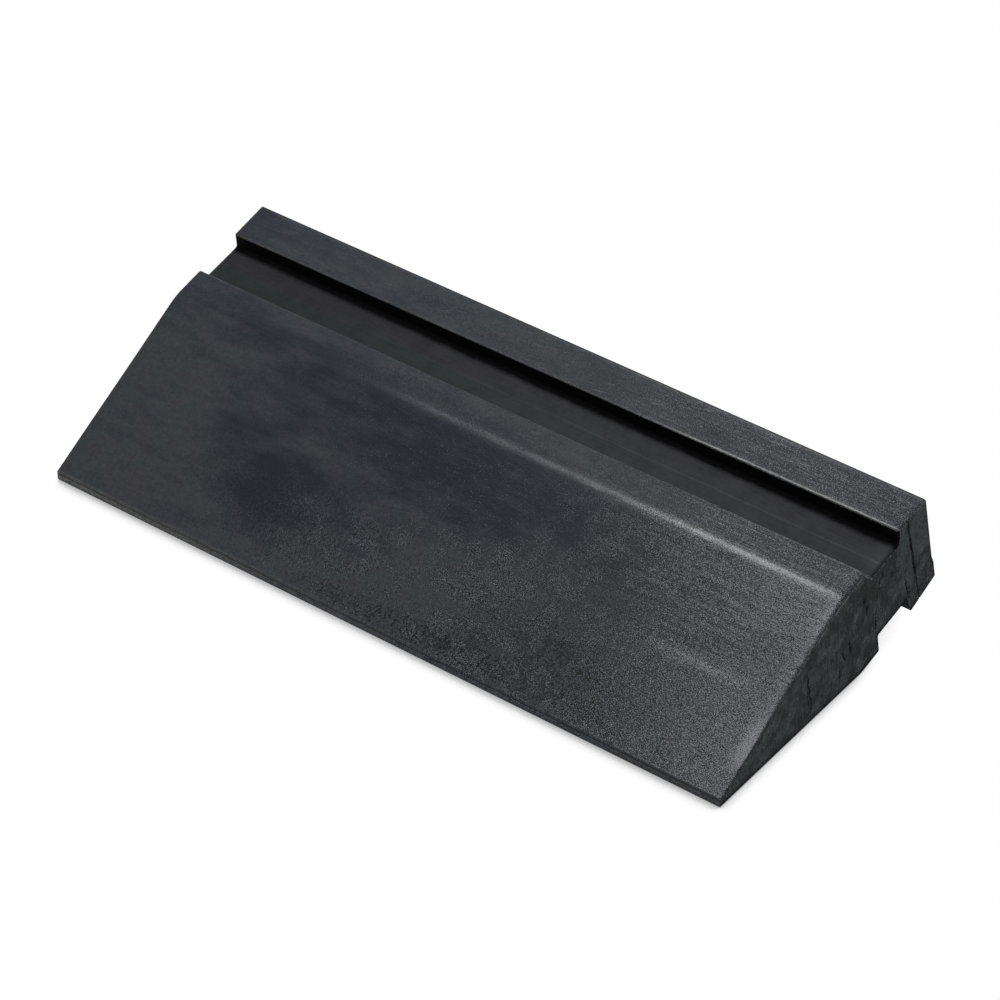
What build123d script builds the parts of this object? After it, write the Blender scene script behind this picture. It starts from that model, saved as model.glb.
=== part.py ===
from build123d import *
import math
import os

# Rubber kerb ramp: a solid wedge of constant section with a strip bonded to its rear.
# X runs along the kerb, Y from the nose to the rear, Z up. Millimetres and degrees.
# The front underside lies on the road. Behind its bend the whole rear block leans back by
# rear_tilt, so the block is drawn on its own axes: u to the rear and v square to it, from the bend.

# Overall
length = 600.0
base_depth = 168.0
nose_height = 8.0
rear_tilt = 13.0
block_height = 91.0

# Top of the block: crest, channel and the front of the lip
crest_lead = 4.8
crest_width = 27.8
crest_wall_run = 7.0
channel_width = 43.1
channel_depth = 10.8
channel_fall = 0.8
lip_wall_run = 1.6
lip_front_width = 10.3

# Underside of the block: heel, groove and the front of the foot
heel_width = 28.0
heel_wall_run = 0.7
groove_depth = 16.5
foot_wall_run = 2.8
foot_front_width = 11.1
foot_front_rise = 0.3
foot_rear_rise = 6.0

# Bonded rear strip, with a low toe that stands proud along its bottom
strip_lip_thickness = 22.8
strip_foot_thickness = 18.8
toe_out = 1.6
toe_height = 15.0
toe_slant = 8.0

# Cement in the strip's seam, which stops short of the ramp's ends
bond_thickness = 0.8
bond_end_recess = 0.8

# Rounded edges
slope_break_radius = 45.0
nose_radius = 1.2
crest_edge_radius = 2.0
lip_edge_radius = 1.5
rear_edge_radius = 0.8
underside_edge_radius = 1.0
inner_corner_radius = 1.5

# Stations along the block's own axes, first along the top and then along the underside
crest_rear = crest_width - crest_lead
channel_front = crest_rear + crest_wall_run
lip_front = crest_rear + channel_width
channel_rear = lip_front - lip_wall_run
lip_seam_front = lip_front + lip_front_width
lip_seam_rear = lip_seam_front + bond_thickness
rear = lip_seam_rear + strip_lip_thickness
toe_rear = rear + toe_out
foot_seam_rear = rear - strip_foot_thickness
foot_seam_front = foot_seam_rear - bond_thickness
foot_front = foot_seam_front - foot_front_width
groove_rear = foot_front - foot_wall_run
groove_front = heel_width + heel_wall_run

# Levels above the heel
channel_front_level = block_height - channel_depth
channel_rear_level = channel_front_level - channel_fall
toe_top = foot_rear_rise + toe_height
slant_top = toe_top + toe_slant


def block(u, v):
    """A point of the leaning block, as a (Y, Z) point of the section."""
    tilt = math.radians(rear_tilt)
    return (
        base_depth + u * math.cos(tilt) - v * math.sin(tilt),
        u * math.sin(tilt) + v * math.cos(tilt),
    )


def foot(u):
    """A point of the foot's underside, which rises evenly from its front edge to the toe."""
    share = (u - foot_front) / (toe_rear - foot_front)
    return block(u, foot_front_rise + share * (foot_rear_rise - foot_front_rise))


def prism(corners, reach):
    """A solid of the given (point, corner radius) outline, from X = -reach to X = +reach."""
    points = [point for point, radius in corners]
    radii = [radius for point, radius in corners]
    outline = FilletPolyline(*points, radius=radii, close=True)
    section = Plane.YZ * make_face(outline.edges())
    return extrude(section, amount=reach, dir=(1, 0, 0), both=True)


def make_ramp_body():
    """The wedge, with the front of the lip and of the foot up to the seam."""
    return prism(
        [
            ((0, 0), nose_radius),
            ((0, nose_height), nose_radius),
            (block(-crest_lead, block_height), slope_break_radius),
            (block(crest_rear, block_height), crest_edge_radius),
            (block(channel_front, channel_front_level), inner_corner_radius),
            (block(channel_rear, channel_rear_level), inner_corner_radius),
            (block(lip_front, block_height), lip_edge_radius),
            (block(lip_seam_front, block_height), 0),
            (foot(foot_seam_front), 0),
            (foot(foot_front), underside_edge_radius),
            (block(groove_rear, groove_depth), inner_corner_radius),
            (block(groove_front, groove_depth), inner_corner_radius),
            (block(heel_width, 0), underside_edge_radius),
            (block(0, 0), 0),
        ],
        length / 2,
    )


def make_bond_film():
    """The cement between body and strip, flush above and below and set back at both ends."""
    return prism(
        [
            (foot(foot_seam_front), 0),
            (block(lip_seam_front, block_height), 0),
            (block(lip_seam_rear, block_height), 0),
            (foot(foot_seam_rear), 0),
        ],
        length / 2 - bond_end_recess,
    )


def make_rear_strip():
    """The strip behind the seam: back of the lip, rear face, toe and back of the foot."""
    return prism(
        [
            (foot(foot_seam_rear), 0),
            (block(lip_seam_rear, block_height), 0),
            (block(rear, block_height), rear_edge_radius),
            (block(rear, slant_top), 0),
            (block(toe_rear, toe_top), 0),
            (foot(toe_rear), rear_edge_radius),
        ],
        length / 2,
    )


pieces = {
    "ramp_body": make_ramp_body(),
    "bond_film": make_bond_film(),
    "rear_strip": make_rear_strip(),
}

# The origin is the middle of the whole ramp's footprint, on the road.
whole = Compound(list(pieces.values())).bounding_box()
to_origin = Pos(-whole.center().X, -whole.center().Y, -whole.min.Z)

os.makedirs("parts", exist_ok=True)
for node, solid in pieces.items():
    export_step(to_origin * solid, f"parts/{node}.step")
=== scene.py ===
# Rubber kerb ramp: a worn moulded wedge with a strip bonded to its rear, on a white floor.
# X runs along the kerb, Y from the nose to the rear, Z up. Metres and radians.
from dataclasses import dataclass
from typing import NamedTuple

import bpy
import numpy as np
from mathutils import Matrix, Vector


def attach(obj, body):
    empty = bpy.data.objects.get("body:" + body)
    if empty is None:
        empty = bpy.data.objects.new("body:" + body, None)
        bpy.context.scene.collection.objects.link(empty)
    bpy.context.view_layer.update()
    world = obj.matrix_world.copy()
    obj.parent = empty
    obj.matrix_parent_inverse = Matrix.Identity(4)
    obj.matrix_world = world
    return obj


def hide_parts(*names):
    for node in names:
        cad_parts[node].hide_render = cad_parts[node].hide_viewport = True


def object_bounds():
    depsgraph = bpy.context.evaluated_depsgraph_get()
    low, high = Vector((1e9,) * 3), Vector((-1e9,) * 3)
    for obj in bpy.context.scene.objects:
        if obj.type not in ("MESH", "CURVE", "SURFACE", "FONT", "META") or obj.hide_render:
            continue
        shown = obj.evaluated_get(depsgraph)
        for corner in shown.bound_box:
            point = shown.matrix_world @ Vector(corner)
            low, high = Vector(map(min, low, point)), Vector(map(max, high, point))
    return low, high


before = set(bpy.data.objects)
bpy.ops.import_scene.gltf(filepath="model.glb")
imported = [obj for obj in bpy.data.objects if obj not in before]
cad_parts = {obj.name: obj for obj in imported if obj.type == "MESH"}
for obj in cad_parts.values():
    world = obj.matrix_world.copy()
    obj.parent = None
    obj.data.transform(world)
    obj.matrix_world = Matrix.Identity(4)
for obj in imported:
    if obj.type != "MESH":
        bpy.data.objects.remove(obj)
cad_low, cad_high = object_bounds()

bl_info = {
    "name": "Rubber Kerb Ramp",
    "version": (1, 0, 0),
    "blender": (4, 5, 0),
    "location": "View3D > Sidebar > Kerb Ramp",
    "description": "Builds the worn rubber surfaces of a kerb ramp over its fixed frame",
    "category": "Object",
}

MM = 0.001
HALF_LENGTH = cad_high.x
NOSE_Y = cad_low.y


# Properties

def linear(hex_colour):
    """An sRGB hex colour as linear red, green, blue and alpha."""
    srgb = np.array([int(hex_colour[i:i + 2], 16) for i in (0, 2, 4)]) / 255
    light = np.where(srgb <= 0.04045, srgb / 12.92, ((srgb + 0.055) / 1.055) ** 2.4)
    return (*light.tolist(), 1.0)


def millimetres(name, value, description):
    """A length property with its default given in millimetres."""
    return bpy.props.FloatProperty(
        name=name, description=description, default=value * MM, unit="LENGTH", precision=5
    )


def degrees(name, value, description):
    """An angle property with its default given in degrees."""
    return bpy.props.FloatProperty(
        name=name, description=description, default=np.radians(value), subtype="ANGLE"
    )


def colour(name, hex_colour, description):
    """A colour property with its default given as an sRGB hex value."""
    return bpy.props.FloatVectorProperty(
        name=name, description=description, default=linear(hex_colour), size=4, subtype="COLOR"
    )


def amount(name, value, description):
    """A plain number property."""
    return bpy.props.FloatProperty(name=name, description=description, default=value)


class RampSection(bpy.types.PropertyGroup):
    """The section of the ramp. Behind the bend the block leans back, and is drawn on its own axes."""

    base_depth: millimetres("Base depth", 168, "Front underside, from the nose to the bend")
    nose_height: millimetres("Nose height", 8, "Height of the front edge")
    rear_tilt: degrees("Rear tilt", 13, "How far the rear block leans back")
    block_height: millimetres("Block height", 91, "From the heel to the crest")
    crest_lead: millimetres("Crest lead", 4.8, "Crest in front of the bend")
    crest_width: millimetres("Crest width", 27.8, "Flat between the slope and the channel")
    crest_wall_run: millimetres("Crest wall run", 7, "How far the crest's rear wall leans")
    channel_width: millimetres("Channel width", 43.1, "Channel between crest and lip, at the top")
    channel_depth: millimetres("Channel depth", 10.8, "Depth of the channel behind the crest")
    channel_fall: millimetres("Channel fall", 0.8, "How much deeper the channel is at the lip")
    lip_wall_run: millimetres("Lip wall run", 1.6, "How far the lip's front wall leans")
    lip_front_width: millimetres("Lip front width", 10.3, "Lip in front of the seam")
    heel_width: millimetres("Heel width", 28, "Underside between the bend and the groove")
    heel_wall_run: millimetres("Heel wall run", 0.7, "How far the groove's front wall leans")
    groove_depth: millimetres("Groove depth", 16.5, "Depth of the underside groove")
    foot_wall_run: millimetres("Foot wall run", 2.8, "How far the groove's rear wall leans")
    foot_front_width: millimetres("Foot front width", 11.1, "Foot in front of the seam")
    foot_front_rise: millimetres("Foot front rise", 0.3, "Foot's front edge above the heel")
    foot_rear_rise: millimetres("Foot rear rise", 6, "Foot's rear edge above the heel")
    strip_lip_thickness: millimetres("Strip at the lip", 22.8, "Thickness of the strip at its top")
    strip_foot_thickness: millimetres("Strip at the foot", 18.8, "Thickness of the strip at its foot")
    toe_out: millimetres("Toe out", 1.6, "How far the toe stands behind the rear face")
    toe_height: millimetres("Toe height", 15, "Height of the toe")
    toe_slant: millimetres("Toe slant", 8, "Height of the slant above the toe")
    bond_thickness: millimetres("Bond thickness", 0.8, "Thickness of the cement in the seam")
    bond_end_recess: millimetres("Bond recess", 0.8, "How far the cement stops short of the ends")


class RampRounding(bpy.types.PropertyGroup):
    """Rounded corners of the section, and of its edges at the cut ends."""

    slope_break: millimetres("Slope break", 45, "Between the slope and the crest")
    nose: millimetres("Nose", 0.9, "Edges of the nose")
    crest_edge: millimetres("Crest edge", 2, "Between the crest and the channel")
    lip_edge: millimetres("Lip edge", 1.2, "Front edge of the lip")
    rear_edge: millimetres("Rear edge", 0.8, "Rear edges of the strip")
    underside_edge: millimetres("Underside edge", 0.7, "Edges of the groove")
    inner_corner: millimetres("Inner corner", 1.5, "Corners of the channel and the groove")
    sharp_edge: millimetres("Sharp edge", 0.03, "Edges of the seam and the bend, which stay sharp")
    nose_end: millimetres("Nose end", 1, "Right end of the nose")
    slope_end: millimetres("Slope end", 2, "Right end of the slope")
    crest_end: millimetres("Crest end", 2.8, "Right end of the crest and its rear wall")
    channel_end: millimetres("Channel end", 3.2, "Right end of the channel's floor")
    lip_end: millimetres("Lip end", 2.4, "Right end of the lip")
    seam_end: millimetres("Seam end", 0.25, "Right end of the faces at the seam and of the rear face")
    underside_end: millimetres("Underside end", 0.4, "Right end of the block's underside")
    base_end: millimetres("Base end", 1.9, "Right end of the front underside")
    left_share: amount("Left end", 0.6, "Rounding of the left end as a share of the right end's")


class RubberColours(bpy.types.PropertyGroup):
    """Colours of the rubber and of its marks."""

    skin: colour("Moulded skin", "323238", "Black rubber with a grey film of dust")
    skin_green: colour("Greenish skin", "2E3437", "The same film where it is a little greener")
    slate: colour("Slate cloud", "0A131E", "Clean bluish black where the film is gone")
    bloom: colour("Bloom", "6D737A", "Greyed tops of the grain where the skin is rough")
    # Also used for painted highlights along the break and at the paler right end.
    chalk: colour("Chalk", "93959A", "Pale grains of abrasion")
    # Also used for painted highlight lines on the lip's front edge, the crest's rear edge and the nose's top
    # edge.
    dust: colour("Dust", "9A9897", "Dry dust along edges and on the nose")
    channel: colour("Channel", "303033", "Greyish dust in the channel")
    channel_front: colour("Channel front", "2D3031", "Cooler dust beside the crest")
    # Clean black is also painted shade: in the nose's crease and along its foot, under the lip and on its
    # wall, in the groove, along the strip's rear edge and along the cut ends' lower edge.
    deep: colour("Clean black", "020202", "Clean rubber in corners, creases and pits")
    speck: colour("Speck", "A4ABB2", "Specks of grit in the skin")
    cut_dark: colour("Cut, dark", "282A2A", "Dense rubber at the cut ends")
    cut_light: colour("Cut, light", "464B4D", "Open rubber at the cut ends")
    fleck: colour("Fleck", "7A7F80", "Torn pale flecks on the cut ends")
    cement: colour("Cement", "060606", "Rubber cement in the seam")
    cement_dust: colour("Dusty cement", "222324", "Dust on the lumps of the cement")


class RampStage(bpy.types.PropertyGroup):
    """Camera, lamp and floor."""

    camera_place: bpy.props.FloatVectorProperty(
        name="Camera place", description="Where the camera stands",
        default=(1.4669, -1.9053, 1.9547), subtype="TRANSLATION", unit="LENGTH",
    )
    azimuth: degrees("Azimuth", 37.355, "Turn of the camera round the ramp")
    elevation: degrees("Elevation", 38.549, "Height of the camera above the horizon")
    roll: degrees("Roll", -0.338, "Tilt of the camera about its line of sight")
    lens: millimetres("Focal length", 152.9, "Focal length on a sensor 36 mm wide")
    lamp_place: bpy.props.FloatVectorProperty(
        name="Lamp place", description="Middle of the softbox overhead",
        default=(-0.245, 0.107, 1.05), subtype="TRANSLATION", unit="LENGTH",
    )
    lamp_size: bpy.props.FloatVectorProperty(
        name="Lamp size", description="Softbox along X and along Y",
        default=(0.12, 0.12), size=2, unit="LENGTH",
    )
    lamp_power: amount("Lamp power", 3.8, "Power of the softbox in watts")
    ambient: amount("Ambient", 0.85, "Strength of the soft light from overhead")
    contact_reach: millimetres("Contact reach", 14, "How far the shadow at the foot of the ramp reaches")
    cover_reach: millimetres("Cover reach", 60, "How high the ramp may stand over floor that it darkens")


# Section

# Points on the arcs and edges of the sections. Edges that lie opposite each other across a cut end have
# as many points as each other: nose and seam, slope and base, crest and heel, and so on.
ARC_POINTS = 7
SIDE_POINTS = 58
SLOPE_POINTS = 86
CREST_POINTS = 20
WALL_POINTS = 7
CHANNEL_POINTS = 22
LIP_POINTS = 8
REAR_POINTS = 36
SLANT_POINTS = 6
TOE_POINTS = 10
STRIP_SEAM_POINTS = REAR_POINTS + SLANT_POINTS + TOE_POINTS + 2 * ARC_POINTS
STRIP_TOP_POINTS = 16
FILM_SIDE_POINTS = 40
FILM_EDGE_POINTS = 3


class Corner(NamedTuple):
    """A corner of a section, with its radius, and the edge that follows it: how many points the edge
    has, and the radius that it is rounded off with at the right cut end."""

    name: str
    place: tuple
    radius: float
    points: int
    end_radius: float


@dataclass
class Prism:
    """A section to be carried along X.

    The cut end is a four-sided patch, and patch names its corners: foot and top of the front side,
    then top and foot of the rear side. recesses names pairs of corners with sunken skin between them.
    """

    corners: list
    patch: tuple
    recesses: tuple = ()
    end_recess: float = 0.0


def block(section, u, v):
    """The (Y, Z) point of the leaning block, u to the rear and v square to it from the bend."""
    lean = section.rear_tilt
    return (
        NOSE_Y + section.base_depth + u * np.cos(lean) - v * np.sin(lean),
        u * np.sin(lean) + v * np.cos(lean),
    )


def block_axes(section, y, z):
    """The leaning block's u and v of (Y, Z) points: block turned back."""
    lean = section.rear_tilt
    y = y - NOSE_Y - section.base_depth
    return y * np.cos(lean) + z * np.sin(lean), z * np.cos(lean) - y * np.sin(lean)


def stations(section):
    """Distances along the leaning block's u axis of what the top and the underside hold."""
    at = {"crest_rear": section.crest_width - section.crest_lead}
    at["channel_front"] = at["crest_rear"] + section.crest_wall_run
    at["lip_front"] = at["crest_rear"] + section.channel_width
    at["channel_rear"] = at["lip_front"] - section.lip_wall_run
    at["lip_seam_front"] = at["lip_front"] + section.lip_front_width
    at["lip_seam_rear"] = at["lip_seam_front"] + section.bond_thickness
    at["rear"] = at["lip_seam_rear"] + section.strip_lip_thickness
    at["toe_rear"] = at["rear"] + section.toe_out
    at["foot_seam_rear"] = at["rear"] - section.strip_foot_thickness
    at["foot_seam_front"] = at["foot_seam_rear"] - section.bond_thickness
    at["foot_front"] = at["foot_seam_front"] - section.foot_front_width
    at["groove_rear"] = at["foot_front"] - section.foot_wall_run
    at["groove_front"] = section.heel_width + section.heel_wall_run
    return at


def foot(section, u):
    """The (Y, Z) point of the foot's underside, which rises evenly from its front edge to the toe."""
    at = stations(section)
    share = (u - at["foot_front"]) / (at["toe_rear"] - at["foot_front"])
    rise = section.foot_front_rise + share * (section.foot_rear_rise - section.foot_front_rise)
    return block(section, u, rise)


def body_prism(section, rounding):
    """The wedge, with the front of the lip and of the foot up to the seam."""
    at, r = stations(section), rounding
    top = section.block_height
    floor = top - section.channel_depth
    slope_break = block(section, -section.crest_lead, top)
    crest_rear, lip_front, lip_seam = (
        block(section, at[name], top) for name in ("crest_rear", "lip_front", "lip_seam_front")
    )
    channel_front = block(section, at["channel_front"], floor)
    channel_rear = block(section, at["channel_rear"], floor - section.channel_fall)
    foot_seam, foot_front = (foot(section, at[name]) for name in ("foot_seam_front", "foot_front"))
    groove_rear, groove_front = (
        block(section, at[name], section.groove_depth) for name in ("groove_rear", "groove_front")
    )
    heel, bend = (block(section, u, 0.0) for u in (section.heel_width, 0.0))
    return Prism(
        [
            Corner("nose_foot", (NOSE_Y, 0.0), r.nose, SIDE_POINTS, r.nose_end),
            Corner("nose_top", (NOSE_Y, section.nose_height), r.nose, SLOPE_POINTS, r.slope_end),
            Corner("break", slope_break, r.slope_break, CREST_POINTS, r.crest_end),
            Corner("crest_rear", crest_rear, r.crest_edge, WALL_POINTS, r.crest_end),
            Corner("channel_front", channel_front, r.inner_corner, CHANNEL_POINTS, r.channel_end),
            Corner("channel_rear", channel_rear, r.inner_corner, LIP_POINTS, r.lip_end),
            Corner("lip_front", lip_front, r.lip_edge, LIP_POINTS, r.lip_end),
            Corner("lip_seam", lip_seam, r.sharp_edge, SIDE_POINTS, r.seam_end),
            Corner("foot_seam", foot_seam, r.sharp_edge, LIP_POINTS, r.underside_end),
            Corner("foot_front", foot_front, r.underside_edge, LIP_POINTS, r.underside_end),
            Corner("groove_rear", groove_rear, r.inner_corner, CHANNEL_POINTS, r.underside_end),
            Corner("groove_front", groove_front, r.inner_corner, WALL_POINTS, r.underside_end),
            Corner("heel", heel, r.underside_edge, CREST_POINTS, r.underside_end),
            Corner("bend", bend, r.sharp_edge, SLOPE_POINTS, r.base_end),
        ],
        patch=("nose_foot", "nose_top", "lip_seam", "foot_seam"),
        recesses=(("channel_front", "lip_front"), ("foot_front", "heel")),
    )


def strip_prism(section, rounding):
    """The strip behind the seam: back of the lip, rear face, toe and back of the foot."""
    at, r = stations(section), rounding
    lip_seam, lip_rear = (
        block(section, at[name], section.block_height) for name in ("lip_seam_rear", "rear")
    )
    toe_level = section.foot_rear_rise + section.toe_height
    slant_top = block(section, at["rear"], toe_level + section.toe_slant)
    toe_top = block(section, at["toe_rear"], toe_level)
    foot_seam, toe_foot = (foot(section, at[name]) for name in ("foot_seam_rear", "toe_rear"))
    return Prism(
        [
            Corner("foot_seam", foot_seam, r.sharp_edge, STRIP_SEAM_POINTS, r.seam_end),
            Corner("lip_seam", lip_seam, r.sharp_edge, STRIP_TOP_POINTS, r.lip_end),
            Corner("lip_rear", lip_rear, r.rear_edge, REAR_POINTS, r.seam_end),
            Corner("slant_top", slant_top, r.rear_edge, SLANT_POINTS, r.seam_end),
            Corner("toe_top", toe_top, r.rear_edge, TOE_POINTS, r.seam_end),
            Corner("toe_foot", toe_foot, r.rear_edge, STRIP_TOP_POINTS, r.underside_end),
        ],
        patch=("foot_seam", "lip_seam", "lip_rear", "toe_foot"),
    )


def film_prism(section, rounding):
    """The cement in the seam, flush above and below and set back at both ends."""
    at, r = stations(section), rounding
    lip_front, lip_rear = (
        block(section, at[name], section.block_height) for name in ("lip_seam_front", "lip_seam_rear")
    )
    foot_front, foot_rear = (foot(section, at[name]) for name in ("foot_seam_front", "foot_seam_rear"))
    return Prism(
        [
            Corner("foot_front", foot_front, r.sharp_edge, FILM_SIDE_POINTS, r.sharp_edge),
            Corner("lip_front", lip_front, r.sharp_edge, FILM_EDGE_POINTS, r.lip_end),
            Corner("lip_rear", lip_rear, r.sharp_edge, FILM_SIDE_POINTS, r.sharp_edge),
            Corner("foot_rear", foot_rear, r.sharp_edge, FILM_EDGE_POINTS, r.underside_end),
        ],
        patch=("foot_front", "lip_front", "lip_rear", "foot_rear"),
        end_recess=section.bond_end_recess,
    )


# Surfaces

EDGE_DRAW = 0.7
LONG_STATIONS = 84
END_RUN = 24 * MM
END_GAPS = np.array([18, 14, 10.5, 8, 6, 4.4, 3.2, 2.4, 1.8, 1.3, 0.9, 0.6, 0.4, 0.25, 0.1, 0.02, 0]) * MM
CUT_GAP = 0.5 * MM
LEAST_RADIUS = 0.02 * MM
LEAST_AREA = 1e-12
SKIN, CUT, RECESS = range(3)


def edge_shares(count):
    """Even shares s drawn towards both ends of an edge: s - draw sin(2 pi s) / (2 pi)."""
    even = np.arange(1, count + 1) / (count + 1)
    return even - EDGE_DRAW * np.sin(2 * np.pi * even) / (2 * np.pi)


def rounded_outline(corners, radii, edge_points):
    """A closed outline with round corners, which starts at the middle of the first corner's arc.

    With a and b the unit directions into and out of a corner and n the unit normal on the turn's side,
    the arc is start + r (a sin t + n (1 - cos t)), for t from 0 to the turn, where start lies the
    tangent length r tan(turn / 2) before the corner.
    """
    into = corners - np.roll(corners, 1, axis=0)
    into /= np.linalg.norm(into, axis=1, keepdims=True)
    out = np.roll(into, -1, axis=0)
    turn = np.arctan2(into[:, 0] * out[:, 1] - into[:, 1] * out[:, 0], (into * out).sum(axis=1))
    normal = np.sign(turn)[:, None] * np.stack([-into[:, 1], into[:, 0]], axis=1)
    start = corners - into * (radii * np.tan(np.abs(turn) / 2))[:, None]
    angle = (np.abs(turn)[:, None] * np.linspace(0, 1, ARC_POINTS))[..., None]
    bend = into[:, None] * np.sin(angle) + normal[:, None] * (1 - np.cos(angle))
    arcs = start[:, None] + radii[:, None, None] * bend
    runs = []
    for arc, following, count in zip(arcs, np.roll(arcs, -1, axis=0), edge_points):
        edge = arc[-1] + edge_shares(count)[:, None] * (following[0] - arc[-1])
        runs += [arc, edge]
    return np.roll(np.concatenate(runs), -(ARC_POINTS // 2), axis=0)


def inset_outline(prism, gap, end_share):
    """The outline at a distance gap from an end, where every edge is rounded off by its end radius r.

    An edge has sunk by r - sqrt(r^2 - (r - gap)^2). Each corner is where its two sunken edges meet, and
    its own radius shrinks by as much on an outer corner and grows on an inner one.
    """
    places, radii, edge_points, r = (
        np.array([getattr(corner, key) for corner in prism.corners])
        for key in ("place", "radius", "points", "end_radius")
    )
    r = r * end_share
    sink = r - np.sqrt(r ** 2 - np.clip(r - gap, 0, None) ** 2)
    along = np.roll(places, -1, axis=0) - places
    along /= np.linalg.norm(along, axis=1, keepdims=True)
    inward = np.stack([along[:, 1], -along[:, 0]], axis=1)
    before = np.roll(inward, 1, axis=0)
    sink_before = np.roll(sink, 1)
    scale = before[:, 0] * inward[:, 1] - before[:, 1] * inward[:, 0]
    shift_y = (sink_before * inward[:, 1] - sink * before[:, 1]) / scale
    shift_z = (sink * before[:, 0] - sink_before * inward[:, 0]) / scale
    depth = (sink + sink_before) / 2
    radii = np.where(scale < 0, radii - depth, radii + depth)
    places = places + np.stack([shift_y, shift_z], axis=1)
    return rounded_outline(places, np.maximum(radii, LEAST_RADIUS), edge_points)


def chain_shares(first, second):
    """Shares of the way along two chains of points, as the mean of their lengths so far."""
    steps = [np.linalg.norm(np.diff(chain, axis=0), axis=1) for chain in (first, second)]
    so_far = [np.append(0, np.cumsum(step)) / step.sum() for step in steps]
    return (so_far[0] + so_far[1]) / 2


def coons_patch(bottom, top, front, rear):
    """A four-sided patch, as (front points, top points, 2): the blend of bottom and top, plus the blend
    of front and rear, less the blend of the four corners."""
    s = chain_shares(bottom, top)[None, :, None]
    t = chain_shares(front, rear)[:, None, None]
    level = (1 - t) * bottom[None] + t * top[None]
    upright = (1 - s) * front[:, None] + s * rear[:, None]
    corner = (1 - t) * ((1 - s) * bottom[0] + s * bottom[-1]) + t * ((1 - s) * top[0] + s * top[-1])
    return level + upright - corner


def cut_end(prism, start, outline, ring, first):
    """Inner points and quads of a cut end, spread as a patch between the outline's points. ring has the
    indices of those, start says which of them each corner is, and the inner points count from first."""
    a, b, c, d = (start[name] for name in prism.patch)
    bottom = np.append(np.arange(d, len(ring)), a)[::-1]
    top, front, rear = np.arange(b, c + 1), np.arange(a, b + 1), np.arange(c, d + 1)[::-1]
    sides = (bottom, top, front, rear)
    inner = coons_patch(*(outline[side] for side in sides))[1:-1, 1:-1]
    rows, columns = inner.shape[:2]
    place = np.zeros((rows + 2, columns + 2), int)
    place[0], place[-1], place[:, 0], place[:, -1] = (ring[side] for side in sides)
    place[1:-1, 1:-1] = first + np.arange(rows * columns).reshape(rows, columns)
    quads = np.stack([place[:-1, :-1], place[:-1, 1:], place[1:, 1:], place[1:, :-1]], axis=-1)
    return inner.reshape(-1, 2), quads.reshape(-1, 4)


@dataclass
class Surface:
    """Points and quads of a piece, and each quad's kind: skin, cut or recess.

    The points are the skin's, as stations along X of one outline each, and then those of the left and
    of the right cut end. run is each outline point's distance along the outline from the top of the
    front side, and at that of the named corners.
    """

    points: np.ndarray
    quads: np.ndarray
    kinds: np.ndarray
    skin_shape: tuple
    run: np.ndarray
    at: dict


def carried_surface(prism, left_share, relief=None, cut_depth=None):
    """The prism's outline carried along X as a grid, closed by a patch at each cut end.

    relief(x, run, at) is how far the skin stands out along the outline's normal, and
    cut_depth(y, z, edge) how deep the cut end lies, where edge is the distance from the end's edge.
    """
    gaps = np.append(END_GAPS[END_GAPS > prism.end_recess], prism.end_recess)
    left, right = (np.array([inset_outline(prism, gap, share) for gap in gaps]) for share in (left_share, 1))
    full = right[0]
    middle = np.linspace(END_RUN - HALF_LENGTH, HALF_LENGTH - END_RUN, LONG_STATIONS)
    x = np.concatenate([(gaps - HALF_LENGTH)[::-1], middle, HALF_LENGTH - gaps])
    outlines = np.concatenate([left[::-1], np.repeat(full[None], LONG_STATIONS, axis=0), right])

    count = len(full)
    steps = np.linalg.norm(np.roll(full, -1, axis=0) - full, axis=1)
    first_points = np.cumsum([0] + [corner.points + ARC_POINTS for corner in prism.corners])
    start = {corner.name: first for corner, first in zip(prism.corners, first_points)}
    run = np.append(0, np.cumsum(steps)[:-1])
    run = run - run[start[prism.patch[1]]]
    at = {name: run[first] for name, first in start.items()}
    if relief:
        tangent = np.roll(full, -1, axis=0) - np.roll(full, 1, axis=0)
        tangent /= np.linalg.norm(tangent, axis=1, keepdims=True)
        outward = np.stack([-tangent[:, 1], tangent[:, 0]], axis=1)
        outlines = outlines + relief(x[:, None], run[None], at)[..., None] * outward[None]

    grid = np.concatenate([np.broadcast_to(x[:, None, None], (len(x), count, 1)), outlines], axis=2)
    index = np.arange(len(x) * count).reshape(len(x), count)
    near, far = index[:-1], index[1:]
    skin = np.stack([near, far, np.roll(far, -1, axis=1), np.roll(near, -1, axis=1)], axis=-1)
    from_end = HALF_LENGTH - prism.end_recess - np.abs(x)
    in_cut = (from_end[:-1] < CUT_GAP) & (from_end[1:] < CUT_GAP)
    in_recess = np.zeros(count, bool)
    for first, last in prism.recesses:
        in_recess[start[first]:start[last] - ARC_POINTS // 2] = True
    kinds = np.where(in_cut[:, None], CUT, np.where(in_recess[None], RECESS, SKIN))

    points, quads, kinds = [grid.reshape(-1, 3)], [skin.reshape(-1, 4)], [kinds.ravel()]
    for station, side in ((0, -1), (-1, 1)):
        outline = grid[station, :, 1:]
        inner, cap = cut_end(prism, start, outline, index[station], sum(map(len, points)))
        depth = np.zeros(len(inner))
        if cut_depth:
            edge = np.linalg.norm(inner[:, None] - outline[None, ::2], axis=2).min(axis=1)
            depth = cut_depth(inner[:, 0], inner[:, 1], edge)
        points.append(np.column_stack([x[station] - side * depth, inner]))
        quads.append(cap[:, ::side])
        kinds.append(np.full(len(cap), CUT))
    points, quads, kinds = (np.concatenate(arrays) for arrays in (points, quads, kinds))
    return Surface(points, quads, kinds, (len(x), count), run, at)


def area_normals(points, quads):
    """Unit normals at the points: the sum of the area vectors of the quads round each point."""
    a, b, c, d = (points[quads[:, i]] for i in range(4))
    area = np.cross(c - a, d - b)
    normals = np.zeros_like(points)
    for i in range(4):
        np.add.at(normals, quads[:, i], area)
    return normals / np.maximum(np.linalg.norm(normals, axis=1, keepdims=True), LEAST_AREA)


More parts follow.
